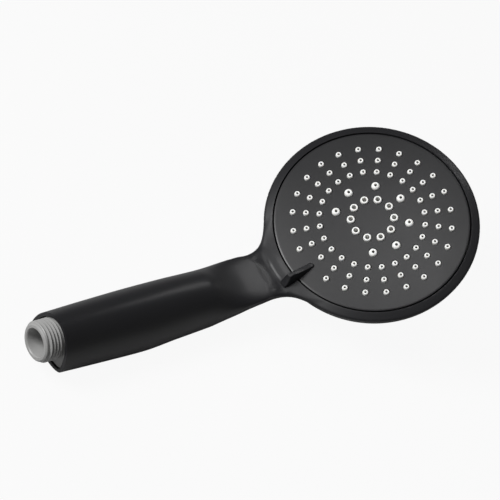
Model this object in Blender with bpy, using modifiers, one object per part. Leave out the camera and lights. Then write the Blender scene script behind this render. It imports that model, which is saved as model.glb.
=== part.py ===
"""Handheld shower head: a one-piece handle and bowl, a turning spray face with a thumb lever,
and the waterway, selector valve and massage turbine inside them.

The handle lies along +Y from its threaded end, whose end face is at the origin, and the spray
face looks up, tilted back towards the handle. Lengths are in metres through MM.
"""
import math

import bmesh
import bpy
from mathutils import Vector

MM = 0.001
GAP = 0.3 * MM                 # between pieces that touch
MERGE = 0.00001

# Where the head sits: its origin is the centre of the seam between rim and face.
HEAD_TILT = math.radians(24.3)
HEAD_Y = 196.8 * MM
HEAD_Z = 29.3 * MM

# Selector: the lever stands at LEVER_REST from the handle, at one of four stops.
LEVER_REST = math.radians(10)
STOP_PITCH = math.radians(20)
STOPS = (-1.5, -0.5, 0.5, 1.5)

# Face, rim and bowl
SEAM_RADIUS = 50.65 * MM
RIM_WIDTH = 4.6 * MM
RIM_DROP = 1.65 * MM
BOWL_DEPTH = 26.5 * MM
BOWL_WALL = 2.3 * MM
FACE_RISE = 2.95 * MM
FACE_THICKNESS = 2.2 * MM
FACE_LIP = 2.85 * MM            # face outside its skirt
SKIRT_DEPTH = 7.8 * MM
SKIRT_WALL = 1.6 * MM
MAT_CLEARANCE = 0.5 * MM
MAT_THICKNESS = 1.5 * MM
FACE_RADIUS = SEAM_RADIUS - GAP
SKIRT_OUT = FACE_RADIUS - FACE_LIP
SKIRT_IN = SKIRT_OUT - SKIRT_WALL
MAT_RADIUS = SKIRT_IN - MAT_CLEARANCE
RIM_RADIUS = SEAM_RADIUS + RIM_WIDTH

# Nozzles: rings from the centre outwards, as shares of the mat's radius
MASSAGE_RING = 0.2438 * MAT_RADIUS
MAT_SPLIT = 0.3227 * MAT_RADIUS         # massage ring inside, mat outside
JET_RING = 0.4156 * MAT_RADIUS
OUTER_CHAMBER_WALL = 0.4978 * MAT_RADIUS
RAIN_RINGS = (0.596 * MAT_RADIUS, 0.7467 * MAT_RADIUS, 0.8965 * MAT_RADIUS)
RAIN_COUNT = 24
MASSAGE_COUNT = 10
JET_ANGLES = (51, 90, 135, 180, 225, 270, 309)    # degrees from the lever
RAIN_NOZZLE = 1.5 * MM
JET_NOZZLE = 2.15 * MM
MASSAGE_NOZZLE = 2.0 * MM
JET_BORE = 0.7 * MM
MASSAGE_BORE = 0.95 * MM
NOZZLE_PROUD = 1.02 * MM
NOZZLE_TAPER = 0.88
NOZZLE_CLEARANCE = 0.35 * MM

# Spray body
BODY_FLOOR = 9.0 * MM
BODY_FLOOR_THICKNESS = 1.6 * MM
CHAMBER_WALL = 1.5 * MM
BODY_RADIUS = MAT_RADIUS - 0.2 * MM
RING_WALL_OUT = MAT_SPLIT + 0.95 * MM
RING_WALL_IN = RING_WALL_OUT - CHAMBER_WALL - 0.2 * MM
HUB_RADIUS = 4.6 * MM
HUB_TOP = 5.0 * MM
HUB_HOLE = HUB_RADIUS + GAP
SLEEVE_WALL = 1.6 * MM
SLEEVE_RADIUS = HUB_HOLE + SLEEVE_WALL
CHANNEL_DEPTH = 0.8 * MM
CHANNEL_WIDTH = 2.8 * MM
FEED_RADIUS = 1.5 * MM
RAIN_FEED_RING = OUTER_CHAMBER_WALL + CHAMBER_WALL + FEED_RADIUS + GAP

# Selector disc, its ports and its click stop
PORT_RADIUS = 2.2 * MM
PORT_RING = (RING_WALL_OUT + OUTER_CHAMBER_WALL) / 2
DETENT_BALL = 1.5 * MM
DETENT_RING = PORT_RING + PORT_RADIUS + DETENT_BALL + 1.2 * MM
DETENT_GROOVE = 0.5 * MM
DETENT_DIMPLE = 0.8 * MM
DETENT_REACH = 0.2 * MM
DETENT_WELL = 7.1 * MM          # depth of its pocket under the disc
DISC_RADIUS = DETENT_RING + DETENT_BALL + 2.4 * MM
DISC_THICKNESS = 1.7 * MM
DISC_CLEARANCE = 0.4 * MM

# Chassis in the bowl
SCREW_RADIUS = 1.3 * MM
SCREW_HEAD_RADIUS = 2.6 * MM
SCREW_HEAD = 1.5 * MM
SCREW_LENGTH = 7 * MM
SCREW_BOSS_RADIUS = 3.6 * MM
CHASSIS_SCREWS = 3
CHASSIS_SCREW_RING = DISC_RADIUS + SCREW_HEAD_RADIUS + 0.7 * MM
CHASSIS_RADIUS = CHASSIS_SCREW_RING + SCREW_BOSS_RADIUS + 0.2 * MM
CHASSIS_THICKNESS = 2.5 * MM
SEAL_RADIUS = 3.9 * MM
SEAL_HEIGHT = 1.9 * MM
VALVE_WIRE = 0.22 * MM
VALVE_POCKET = 4.2 * MM         # depth of the seal's pocket in the chassis
DUCT_RADIUS = 4.4 * MM
DUCT_BORE = 3.0 * MM
HUB_TAIL = 3 * MM
DUCT_END = CHASSIS_RADIUS + MM
DUCT_CLOSED = -PORT_RING + SEAL_RADIUS + 4.1 * MM

# Waterway in the handle
SPIGOT_RADIUS = 2.9 * MM
SPIGOT_BORE = 1.8 * MM
SPIGOT_END = DUCT_END + 11 * MM
TUBE_RADIUS = 4.5 * MM
TUBE_WALL = 1.1 * MM
TUBE_BEND = 58 * MM             # start of the bend, before the rim
TUBE_STRAIGHT = 20 * MM         # of the tube, just before the bend
TUBE_DIP = 0.3
ORING_SECTION = 0.42 * MM

# Threaded end
THREAD_RADIUS = 10.478 * MM     # G1/2
END_FACE_RADIUS = 9.6 * MM
INLET_BORE = 6.75 * MM
INLET_DEPTH = 18 * MM
SHELL_START = 9.9 * MM          # end face to the open end of the shell
FLANGE_RECESS = 0.8 * MM
FLANGE_THICKNESS = 3.2 * MM
END_WALL = 1.95 * MM
SHELL_WALL = 2.5 * MM
SOCKET_DEPTH = 14 * MM

# Massage turbine
TURBINE_RADIUS = RING_WALL_IN - 0.7 * MM
TURBINE_BLADES = 8
TURBINE_HEIGHT = 2.6 * MM
JET_PLATE = 0.9 * MM
JET_SLOTS = 3
SLOT_LEAN = 0.7                 # sideways for each unit of height
WASHER_RADIUS = 5.8 * MM
WASHER_THICKNESS = 0.6 * MM

# Lever
LEVER_START = RAIN_RINGS[-1] - 1.4 * MM
LEVER_END = RIM_RADIUS + 3.35 * MM
LEVER_HEIGHT = 6.6 * MM
LEVER_THICKNESS = 4.4 * MM
# Along the lever from its inner tip, as shares: place, height, width of its foot and of its top
LEVER_STATIONS = (
    (0.0, 0.26, 0.32, 0.18), (0.14, 0.34, 0.62, 0.42), (0.4, 0.49, 0.82, 0.46),
    (0.56, 0.7, 0.91, 0.48), (0.69, 0.95, 0.97, 0.5), (0.8, 0.97, 1.0, 0.52),
    (0.88, 0.56, 1.0, 0.74), (1.0, 0.12, 0.84, 0.72),
)
TENON_END = MAT_RADIUS - 0.2 * MM
TENON_START = TENON_END - 2.1 * MM
TENON_BOTTOM = 1.2 * MM
TENON_HALF = 1.0 * MM

# Heights in the head, measured along its axis from the seam plane
BODY_BOTTOM = -BODY_FLOOR
BODY_TOP = BODY_BOTTOM + BODY_FLOOR_THICKNESS
DISC_TOP = BODY_BOTTOM - GAP
DISC_BOTTOM = DISC_TOP - DISC_THICKNESS
CHASSIS_TOP = DISC_BOTTOM - DISC_CLEARANCE
CHASSIS_BOTTOM = CHASSIS_TOP - CHASSIS_THICKNESS
WELL_FLOOR = CHASSIS_TOP - DETENT_WELL
POCKET_FLOOR = CHASSIS_TOP - VALVE_POCKET
DUCT_DEPTH = 0.8 * MM - POCKET_FLOOR
SPIGOT_DEPTH = DUCT_DEPTH - 2.4 * MM
RIM_Y = HEAD_Y - RIM_RADIUS * math.cos(HEAD_TILT) + RIM_DROP * math.sin(HEAD_TILT)
RIM_Z = HEAD_Z - RIM_RADIUS * math.sin(HEAD_TILT) - RIM_DROP * math.cos(HEAD_TILT)

# Cross-sections of handle and neck: place along the handle, half width, height in front, depth
# behind, height of the widest line, and how full the front is: 2 is an ellipse and 3 nearly flat.
# The grip is measured from its open end and from the thread's axis, and the neck from the rim's
# lowest point, in length and in height.
GRIP_SECTIONS = (
    (0, 15.2, 13.0, 13.4, -7.35, 2.0),
    (25.1, 15.9, 13.3, 14.1, -7.9, 2.0),
    (50.1, 16.3, 13.4, 14.8, -8.4, 2.0),
    (70.1, 15.65, 13.4, 13.9, -6.9, 2.0),
)
NECK_SECTIONS = (
    (-47.1, 14.82, 6.84, 18.86, -10.93, 2.1),
    (-38.0, 14.58, 3.74, 18.16, -8.35, 2.3),
    (-29.1, 14.41, 1.04, 17.46, -5.41, 2.6),
    (-22.0, 14.05, -0.16, 17.06, -3.07, 2.8),
    (-15.0, 13.5, -0.56, 16.86, -2.16, 3.0),
    (-9.0, 12.6, -0.46, 16.76, -2.06, 3.0),
    (-3.0, 12.0, 0.04, 16.76, -2.06, 3.0),
    (1.0, 11.8, 1.14, 16.86, -1.76, 2.9),
    (3.5, 11.8, 2.54, 16.86, -1.41, 2.8),
    (8.5, 12.3, 4.54, 16.46, -0.26, 2.5),
    (18.6, 14.0, 8.34, 14.46, 3.34, 2.2),
    (28.5, 15.0, 12.24, 11.66, 7.14, 2.0),
    (37.1, 14.0, 15.44, 8.66, 10.44, 2.0),
    (44.0, 12.0, 17.44, 5.86, 11.94, 2.0),
)
SECTION_POINTS = 28
GRIP_STEP = 22 * MM             # spacing of the sections along grip and neck
NECK_STEP = 6 * MM
NECK_START = 20 * MM


def clear_scene():
    for item in list(bpy.data.objects):
        bpy.data.objects.remove(item, do_unlink=True)


def new_collection(name):
    group = bpy.data.collections.new(name)
    bpy.context.scene.collection.children.link(group)
    return group


def new_material(name, colour, roughness, metallic=0.0):
    made = bpy.data.materials.new(name)
    made.use_nodes = True
    shader = made.node_tree.nodes["Principled BSDF"]
    shader.inputs["Base Color"].default_value = (*colour, 1)
    shader.inputs["Roughness"].default_value = roughness
    shader.inputs["Metallic"].default_value = metallic
    return made


clear_scene()
PARTS = new_collection("handheld_shower_head")
CUTTERS = new_collection("cutters")

FINISHES = {
    "black": ((0.02, 0.02, 0.022), 0.45, 0.0),
    "grey": ((0.36, 0.36, 0.35), 0.5, 0.0),
    "white": ((0.82, 0.82, 0.80), 0.55, 0.0),
    "acetal": ((0.7, 0.7, 0.66), 0.4, 0.0),
    "rubber": ((0.03, 0.03, 0.03), 0.8, 0.0),
    "steel": ((0.6, 0.6, 0.6), 0.3, 1.0),
}


def add_object(name, data, finish, parent=None):
    """Put mesh or curve data in the parts collection with a finish of its own."""
    made = bpy.data.objects.new(name, data)
    PARTS.objects.link(made)
    made.parent = parent
    colour, roughness, metallic = FINISHES[finish]
    data.materials.append(new_material(name, colour, roughness, metallic))
    return made


def add_cutter(name, data, parent=None):
    made = bpy.data.objects.new(name, data)
    CUTTERS.objects.link(made)
    made.parent = parent
    made.hide_render = True
    made.display_type = "WIRE"
    return made


def add_frame(name, parent=None, location=(0, 0, 0), rotation=(0, 0, 0)):
    made = bpy.data.objects.new(name, None)
    CUTTERS.objects.link(made)
    made.parent = parent
    made.location = location
    made.rotation_euler = rotation
    made.empty_display_size = 10 * MM
    return made


def boolean(target, tool, operation):
    step = target.modifiers.new(tool.name, "BOOLEAN")
    step.object = tool
    step.operation = operation
    step.solver = "EXACT"
    return step


def cut(target, tool):
    return boolean(target, tool, "DIFFERENCE")


def join(target, tool):
    return boolean(target, tool, "UNION")


def smooth(mesh, angle=35):
    mesh.shade_smooth()
    mesh.set_sharp_from_angle(angle=math.radians(angle))


def finish_mesh(bm, name):
    bmesh.ops.recalc_face_normals(bm, faces=bm.faces)
    mesh = bpy.data.meshes.new(name)
    bm.to_mesh(mesh)
    bm.free()
    smooth(mesh)
    return mesh


def profile_mesh(name, profile):
    """Closed profile of (radius, height) points, clockwise, for turning about Z."""
    count = len(profile)
    edges = [(i, (i + 1) % count) for i in range(count)]
    mesh = bpy.data.meshes.new(name)
    mesh.from_pydata([(r, 0, z) for r, z in profile], edges, [])
    return mesh


def turn(target, segments):
    step = target.modifiers.new("turned", "SCREW")
    step.axis = "Z"
    step.angle = math.tau
    step.steps = segments
    step.render_steps = segments
    step.use_merge_vertices = True
    step.merge_threshold = MERGE
    step.use_smooth_shade = False
    return target


def turned(name, profile, finish, parent, segments=48):
    return turn(add_object(name, profile_mesh(name, profile), finish, parent), segments)


def turned_cutter(name, profile, parent, segments=48):
    return turn(add_cutter(name, profile_mesh(name, profile), parent), segments)


def add_cylinder(bm, radius, low, high, centre=(0, 0), segments=24, axis="Z", top_radius=None):
    """Add a cylinder, or a cone, that runs from low to high along Z, or along Y."""
    made = bmesh.ops.create_cone(
        bm, cap_ends=True, segments=segments, radius1=radius,
        radius2=radius if top_radius is None else top_radius, depth=high - low)
    middle = (low + high) / 2
    for vert in made["verts"]:
        x, y, z = vert.co
        if axis == "Z":
            vert.co = Vector((x + centre[0], y + centre[1], z + middle))
        else:
            vert.co = Vector((x + centre[0], z + middle, y + centre[1]))
    return made["verts"]


def cylinder_mesh(name, *args, **options):
    bm = bmesh.new()
    add_cylinder(bm, *args, **options)
    return finish_mesh(bm, name)


def add_box(bm, low, high):
    made = bmesh.ops.create_cube(bm, size=1)
    size = Vector(high) - Vector(low)
    middle = (Vector(high) + Vector(low)) / 2
    for vert in made["verts"]:
        vert.co = Vector(a * b for a, b in zip(vert.co, size)) + middle
    return made["verts"]


def polar(radius, angle):
    return (radius * math.cos(angle), radius * math.sin(angle))


def turn_point(point, angle):
    x, y, z = point
    cosine, sine = math.cos(angle), math.sin(angle)
    return Vector((x * cosine - y * sine, x * sine + y * cosine, z))


def face_height(radius):
    """Height of the domed face above the seam plane."""
    return FACE_RISE * (1 - (radius / FACE_RADIUS) ** 2)


def mat_height(radius):
    return face_height(radius) - FACE_THICKNESS - GAP


def body_height(radius):
    """Height of the chamber walls, which stop just under the mat."""
    return mat_height(radius) - MAT_THICKNESS - GAP


def curve_through(places, values, at):
    """Smooth curve through the given values, with no overshoot between near neighbours."""
    last = len(places) - 1
    slopes = [(values[i + 1] - values[i]) / (places[i + 1] - places[i]) for i in range(last)]

    def tangent(i):
        if i == 0:
            return slopes[0]
        if i == last:
            return slopes[-1]
        before, after = slopes[i - 1], slopes[i]
        if before * after <= 0:
            return 0.0
        return 2 * before * after / (before + after)

    i = max(k for k in range(last) if k == 0 or places[k] <= at)
    span = places[i + 1] - places[i]
    t = (at - places[i]) / span
    return ((1 + 2 * t) * (1 - t) ** 2 * values[i] + t * (1 - t) ** 2 * span * tangent(i)
            + t * t * (3 - 2 * t) * values[i + 1] - t * t * (1 - t) * span * tangent(i + 1))


def handle_sections():
    """Rows in metres from the thread's end; the fullness stays a bare number."""
    rows = []
    for start, level, sections in ((SHELL_START, 0, GRIP_SECTIONS), (RIM_Y, RIM_Z, NECK_SECTIONS)):
        for place, width, front, back, widest, fullness in sections:
            rows.append((start + place * MM, width * MM, level + front * MM, back * MM - level,
                         level + widest * MM, fullness))
    return rows


def section_loop(y, inset, count):
    """Closed outline of the handle at y: a fuller half ellipse in front and a plain one behind."""
    rows = handle_sections()
    places = [row[0] for row in rows]
    clamped = min(max(y, places[0]), places[-1])
    width, front, back, widest, fullness = (
        curve_through(places, [row[i] for row in rows], clamped) for i in range(1, 6))
    width -= inset
    front -= inset + widest
    back += widest - inset
    points = []
    for i in range(count):
        across, up = math.sin(math.tau * i / count), math.cos(math.tau * i / count)
        height, power = (front, 2 / fullness) if up > 0 else (back, 1)
        across = math.copysign(abs(across) ** power, across)
        up = math.copysign(abs(up) ** power, up)
        points.append(Vector((width * across, y, widest + height * up)))
    return points


def loft(name, places, inset, count=SECTION_POINTS):
    """Solid through the handle's sections at the given places."""
    bm = bmesh.new()
    rings = [[bm.verts.new(p) for p in section_loop(y, inset, count)] for y in places]
    for first, second in zip(rings, rings[1:]):
        for i in range(count):
            j = (i + 1) % count
            bm.faces.new((first[i], first[j], second[j], second[i]))
    bm.faces.new(rings[0])
    bm.faces.new(rings[-1])
    return finish_mesh(bm, name)


def bowl_profile(inset, bore):
    """Outside of rim and bowl, or with an inset and a bore the space inside them."""
    rim = RIM_RADIUS - inset
    depth = BOWL_DEPTH - inset
    shape = ((0.995, 0.23), (0.955, 0.385), (0.885, 0.56), (0.775, 0.725), (0.62, 0.86), (0.4, 0.955))
    if bore:
        shape = shape[2:]
        start = [(0, bore[1]), (bore[0], bore[1]), (bore[0], -0.36 * BOWL_DEPTH)]
    else:
        edge = (rim + 0.25 * MM, -RIM_DROP - 1.75 * MM)
        start = [(0, -GAP), (SEAM_RADIUS, 0), (rim, -RIM_DROP), edge]
    return start + [(r * rim, -z * depth) for r, z in shape] + [(0, -depth)]


def spaced(start, end, step):
    count = max(1, round((end - start) / step))
    return [start + (end - start) * i / count for i in range(count + 1)]


def handle_shell(head):
    end = RIM_Y + NECK_SECTIONS[-1][0] * MM
    bend = RIM_Y - NECK_START
    places = spaced(SHELL_START, bend, GRIP_STEP) + spaced(bend + NECK_STEP, end, NECK_STEP)
    shell = add_object("handle_shell", loft("handle_shell", places, 0), "black")
    join(shell, turned_cutter("bowl_form", bowl_profile(0, None), head, 44))
    inner = [SHELL_START + FLANGE_RECESS + FLANGE_THICKNESS + GAP]
    inner += spaced(inner[0] + GRIP_STEP, bend, GRIP_STEP)
    inner += spaced(bend + NECK_STEP, end - 2 * NECK_STEP, NECK_STEP)
    cut(shell, add_cutter("handle_space", loft("handle_space", inner, SHELL_WALL, 20)))
    mouth = [SHELL_START - 5 * MM, SHELL_START, inner[0] + 0.05 * MM]
    cut(shell, add_cutter("flange_recess", loft("flange_recess", mouth, END_WALL)))
    space = bowl_profile(BOWL_WALL, (SEAM_RADIUS, 5 * MM))
    cut(shell, turned_cutter("bowl_space", space, head, 36))
    bosses = bmesh.new()
    pilots = bmesh.new()
    for place in screw_places():
        add_cylinder(bosses, SCREW_BOSS_RADIUS, -BOWL_DEPTH + 4.3 * MM, CHASSIS_BOTTOM - GAP, place, 12)
        depth = CHASSIS_TOP - SCREW_LENGTH - 0.6 * MM
        add_cylinder(pilots, SCREW_RADIUS + GAP, depth, CHASSIS_TOP, place, 10)
    join(shell, add_cutter("screw_bosses", finish_mesh(bosses, "screw_bosses"), head))
    cut(shell, add_cutter("screw_pilots", finish_mesh(pilots, "screw_pilots"), head))
    return shell


def screw_places():
    start = math.radians(90)
    step = math.tau / CHASSIS_SCREWS
    return [polar(CHASSIS_SCREW_RING, start + step * i) for i in range(CHASSIS_SCREWS)]


def inlet_connector():
    """Threaded end with its flange and the socket for the water tube, turned about Y."""
    flange_front = SHELL_START + FLANGE_RECESS
    flange_back = flange_front + FLANGE_THICKNESS
    socket_start = INLET_DEPTH + 6 * MM
    socket_end = socket_start + SOCKET_DEPTH
    socket = TUBE_RADIUS + 0.5 * MM
    profile = [
        (INLET_BORE, 0), (END_FACE_RADIUS, 0), (THREAD_RADIUS, -0.9 * MM),
        (THREAD_RADIUS, -flange_front - 1 * MM), (THREAD_RADIUS - 1.2 * MM, -flange_back - 2 * MM),
        (socket + 2 * MM, -socket_start), (socket + 2 * MM, -socket_end), (socket, -socket_end),
        (socket, -socket_start), (TUBE_RADIUS - TUBE_WALL, -socket_start),
        (TUBE_RADIUS - TUBE_WALL, -INLET_DEPTH), (INLET_BORE, -INLET_DEPTH),
    ]
    frame = add_frame("connector_axis", None, (0, 0, 0), (math.radians(90), 0, 0))
    part = turned("inlet_connector", profile, "grey", frame, 28)
    flange = loft("connector_flange", [flange_front, flange_back], END_WALL + GAP)
    plate = add_cutter("connector_flange", flange)
    inside = (INLET_BORE + THREAD_RADIUS) / 2 - 0.6 * MM
    hole = cylinder_mesh("flange_hole", inside, flange_front - MM, flange_back + MM, (0, 0), 28, "Y")
    cut(plate, add_cutter("flange_hole", hole))
    join(part, plate)
    groove = socket_start + 9 * MM
    tool = ring_profile(socket, ORING_SECTION + GAP, -groove, 6)
    cut(part, turned_cutter("socket_groove", tool, frame, 16))
    turned("tube_oring", ring_profile(socket, ORING_SECTION, -groove, 6), "rubber", frame, 16)
    return socket_start, socket_end


def ring_profile(radius, section, height, count=8):
    """Round section of an O-ring, clockwise."""
    return [(radius + section * math.cos(-math.tau * i / count),
             height + section * math.sin(-math.tau * i / count)) for i in range(count)]


def coil(name, radius, wire, low, high, turns, parent):
    """Compression spring as a poly curve along Z."""
    steps = 8
    data = bpy.data.curves.new(name, "CURVE")
    data.dimensions = "3D"
    data.bevel_depth = wire
    data.bevel_resolution = 1
    data.use_fill_caps = True
    spline = data.splines.new("POLY")
    count = turns * steps + 1
    spline.points.add(count - 1)
    for i in range(count):
        x, y = polar(radius, math.tau * i / steps)
        height = low + wire + (high - low - 2 * wire) * i / (count - 1)
        spline.points[i].co = (x, y, height, 1)
    return add_object(name, data, "steel", parent)


def diverter_chassis(head):
    """Plate screwed into the bowl: hub for the spray face, inlet duct, valve and detent pockets."""
    neck = -SPIGOT_DEPTH
    profile = [
        (SCREW_RADIUS + GAP, -HUB_TOP), (HUB_RADIUS, -HUB_TOP), (HUB_RADIUS, CHASSIS_TOP),
        (CHASSIS_RADIUS, CHASSIS_TOP), (CHASSIS_RADIUS, CHASSIS_BOTTOM),
        (HUB_RADIUS + 1.4 * MM, CHASSIS_BOTTOM), (HUB_RADIUS + 1.4 * MM, CHASSIS_BOTTOM - HUB_TAIL),
        (SCREW_RADIUS + GAP, CHASSIS_BOTTOM - HUB_TAIL),
    ]
    chassis = turned("diverter_chassis", profile, "acetal", head, 28)
    ducts = bmesh.new()
    seal_wall = SEAL_RADIUS + GAP + 1.4 * MM
    add_cylinder(ducts, DUCT_RADIUS, -DUCT_END, DUCT_CLOSED, (0, -DUCT_DEPTH), 16, "Y")
    join(chassis, add_cutter("duct_form", finish_mesh(ducts, "duct_form"), head))
    boss = cylinder_mesh("valve_boss", seal_wall, -DUCT_DEPTH, CHASSIS_BOTTOM + MM, (0, -PORT_RING), 16)
    join(chassis, add_cutter("valve_boss", boss, head))
    root = -DUCT_END + 2 * MM
    spigot = cylinder_mesh("spigot_form", SPIGOT_RADIUS, -SPIGOT_END, root, (0, neck), 16, "Y")
    join(chassis, add_cutter("spigot_form", spigot, head))
    ball_place = (0, DETENT_RING)
    cup_radius = DETENT_BALL + 1.7 * MM
    cup = cylinder_mesh("detent_boss", cup_radius, WELL_FLOOR - MM, CHASSIS_BOTTOM + MM, ball_place, 12)
    join(chassis, add_cutter("detent_boss", cup, head))
    bores = bmesh.new()
    add_cylinder(bores, DUCT_BORE, root, DUCT_CLOSED - 2 * MM, (0, -DUCT_DEPTH), 12, "Y")
    cut(chassis, add_cutter("duct_bore", finish_mesh(bores, "duct_bore"), head))
    inlet = cylinder_mesh("spigot_bore", SPIGOT_BORE, -SPIGOT_END - MM, root + 2 * MM, (0, neck), 12, "Y")
    cut(chassis, add_cutter("spigot_bore", inlet, head))
    valve_place = (0, -PORT_RING)
    pocket_radius = SEAL_RADIUS + GAP
    pocket = cylinder_mesh("valve_pocket", pocket_radius, POCKET_FLOOR, CHASSIS_TOP + MM, valve_place, 16)
    cut(chassis, add_cutter("valve_pocket", pocket, head))
    way = cylinder_mesh("valve_way", PORT_RADIUS, -DUCT_DEPTH, POCKET_FLOOR + MM, valve_place, 12)
    cut(chassis, add_cutter("valve_way", way, head))
    well = cylinder_mesh("detent_well", DETENT_BALL + GAP, WELL_FLOOR, CHASSIS_TOP + MM, ball_place, 12)
    cut(chassis, add_cutter("detent_well", well, head))
    holes = bmesh.new()
    for place in screw_places():
        add_cylinder(holes, SCREW_RADIUS + GAP, CHASSIS_BOTTOM - MM, CHASSIS_TOP + MM, place, 10)
    cut(chassis, add_cutter("chassis_holes", finish_mesh(holes, "chassis_holes"), head))
    grooves = [SPIGOT_END - 3 * MM, SPIGOT_END - 6.5 * MM]
    for i, place in enumerate(grooves, 1):
        frame = add_frame(f"groove_{i}_axis", head, (0, -place, neck), (math.radians(90), 0, 0))
        ring = SPIGOT_RADIUS - 0.35 * MM
        tool = [(ring - ORING_SECTION - 0.15 * MM, 0.75 * MM), (SPIGOT_RADIUS + MM, 0.75 * MM),
                (SPIGOT_RADIUS + MM, -0.75 * MM), (ring - ORING_SECTION - 0.15 * MM, -0.75 * MM)]
        cut(chassis, turned_cutter(f"spigot_groove_{i}", tool, frame, 16))
        turned(f"spigot_oring_{i}", ring_profile(ring, ORING_SECTION, 0, 6), "rubber", frame, 16)
    return chassis


def chassis_fasteners(head):
    top = CHASSIS_TOP + GAP
    profile = [
        (0, top + SCREW_HEAD), (SCREW_HEAD_RADIUS, top + 0.7 * SCREW_HEAD), (SCREW_HEAD_RADIUS, top),
        (SCREW_RADIUS, top), (SCREW_RADIUS, top - SCREW_LENGTH), (0, top - SCREW_LENGTH - 0.4 * MM),
    ]
    for i, place in enumerate(screw_places(), 1):
        frame = add_frame(f"chassis_screw_{i}_axis", head, (*place, 0))
        turned(f"chassis_screw_{i}", profile, "steel", frame, 12)


def valve_parts(head):
    frame = add_frame("valve_axis", head, (0, -PORT_RING, 0))
    top = DISC_BOTTOM - GAP
    bottom = top - SEAL_HEIGHT
    lip = SEAL_RADIUS - 0.9 * MM
    skirt = SEAL_RADIUS - 1.1 * MM
    under = top - 1.1 * MM
    profile = [
        (PORT_RADIUS, top), (lip, top), (SEAL_RADIUS, top - 0.8 * MM), (SEAL_RADIUS, bottom),
        (skirt, bottom), (skirt, under), (PORT_RADIUS, under),
    ]
    turned("valve_seal", profile, "rubber", frame, 16)
    coil("valve_spring", SEAL_RADIUS - 0.5 * MM, VALVE_WIRE, POCKET_FLOOR + GAP, bottom - GAP, 2, frame)


def detent_parts(head):
    centre = DISC_BOTTOM + DETENT_REACH - DETENT_BALL
    ball_frame = add_frame("detent_axis", head, (0, DETENT_RING, centre))
    bm = bmesh.new()
    bmesh.ops.create_uvsphere(bm, u_segments=12, v_segments=8, radius=DETENT_BALL)
    add_object("detent_ball", finish_mesh(bm, "detent_ball"), "steel", ball_frame)
    frame = add_frame("detent_spring_axis", head, (0, DETENT_RING, 0))
    top = centre - DETENT_BALL - GAP
    coil("detent_spring", DETENT_BALL - 0.4 * MM, 0.2 * MM, WELL_FLOOR + GAP, top, 3, frame)


def selector_disc(turning):
    """Disc that brings one of four ports over the valve seal; the ball runs in its groove."""
    ball = DETENT_BALL + GAP
    groove_out = DETENT_RING + ball - DETENT_REACH
    groove_in = DETENT_RING - ball + DETENT_REACH
    floor = DISC_BOTTOM + DETENT_GROOVE
    profile = [
        (HUB_HOLE, DISC_TOP), (DISC_RADIUS, DISC_TOP), (DISC_RADIUS, DISC_BOTTOM),
        (groove_out, DISC_BOTTOM), (groove_out, floor), (groove_in, floor),
        (groove_in, DISC_BOTTOM), (HUB_HOLE, DISC_BOTTOM),
    ]
    disc = turned("selector_disc", profile, "acetal", turning, 32)
    tools = bmesh.new()
    for stop in STOPS:
        port = polar(PORT_RING, math.radians(-90) - stop * STOP_PITCH)
        add_cylinder(tools, PORT_RADIUS, DISC_BOTTOM - MM, DISC_TOP + MM, port, 10)
        dimple = polar(DETENT_RING, math.radians(90) - stop * STOP_PITCH)
        depth = DISC_BOTTOM + DETENT_DIMPLE
        add_cylinder(tools, DETENT_BALL, floor - MM, depth, dimple, 8, top_radius=0.4 * DETENT_BALL)
    cut(disc, add_cutter("disc_ports", finish_mesh(tools, "disc_ports"), turning))
    return disc


def spray_body(turning):
    """Chambers behind the nozzles: massage in the middle, jets around it, rain outside."""
    profile = [(HUB_HOLE, -HUB_TOP - GAP), (SLEEVE_RADIUS, -HUB_TOP - GAP), (SLEEVE_RADIUS, BODY_TOP)]
    walls = ((RING_WALL_IN, RING_WALL_OUT, MAT_SPLIT),
             (OUTER_CHAMBER_WALL, OUTER_CHAMBER_WALL + CHAMBER_WALL, OUTER_CHAMBER_WALL + CHAMBER_WALL))
    for inside, outside, level in walls:
        top = body_height(level)
        profile += [(inside, BODY_TOP), (inside, top), (outside, top), (outside, BODY_TOP)]
    rim_in, rim_top = BODY_RADIUS - CHAMBER_WALL, body_height(BODY_RADIUS)
    profile += [(rim_in, BODY_TOP), (rim_in, rim_top), (BODY_RADIUS, rim_top),
                (BODY_RADIUS, BODY_BOTTOM), (HUB_HOLE, BODY_BOTTOM)]
    body = turned("spray_body", profile, "acetal", turning, 32)
    ways = {-1.5: (MASSAGE_RING, PORT_RING), -0.5: (MASSAGE_RING, RAIN_FEED_RING),
            0.5: (PORT_RING, RAIN_FEED_RING)}
    channels = bmesh.new()
    holes = bmesh.new()
    for stop in STOPS:
        angle = math.radians(-90) - stop * STOP_PITCH
        feeds = ways.get(stop, (PORT_RING,))
        if len(feeds) == 2:
            add_channel(channels, angle, *feeds)
        for radius in feeds:
            if radius != PORT_RING or len(feeds) == 1:
                place = polar(radius, angle)
                add_cylinder(holes, FEED_RADIUS, BODY_BOTTOM - MM, BODY_TOP + MM, place, 10)
    cut(body, add_cutter("body_channels", finish_mesh(channels, "body_channels"), turning))
    cut(body, add_cutter("body_ports", finish_mesh(holes, "body_ports"), turning))
    return body


def add_channel(bm, angle, start, end):
    """Radial slot in the underside of the spray body, from a port to its chamber."""
    half = CHANNEL_WIDTH / 2
    far_corner = (end + half, half, BODY_BOTTOM + CHANNEL_DEPTH)
    verts = add_box(bm, (start - half, -half, BODY_BOTTOM - MM), far_corner)
    for vert in verts:
        vert.co = turn_point(vert.co, angle)


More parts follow.
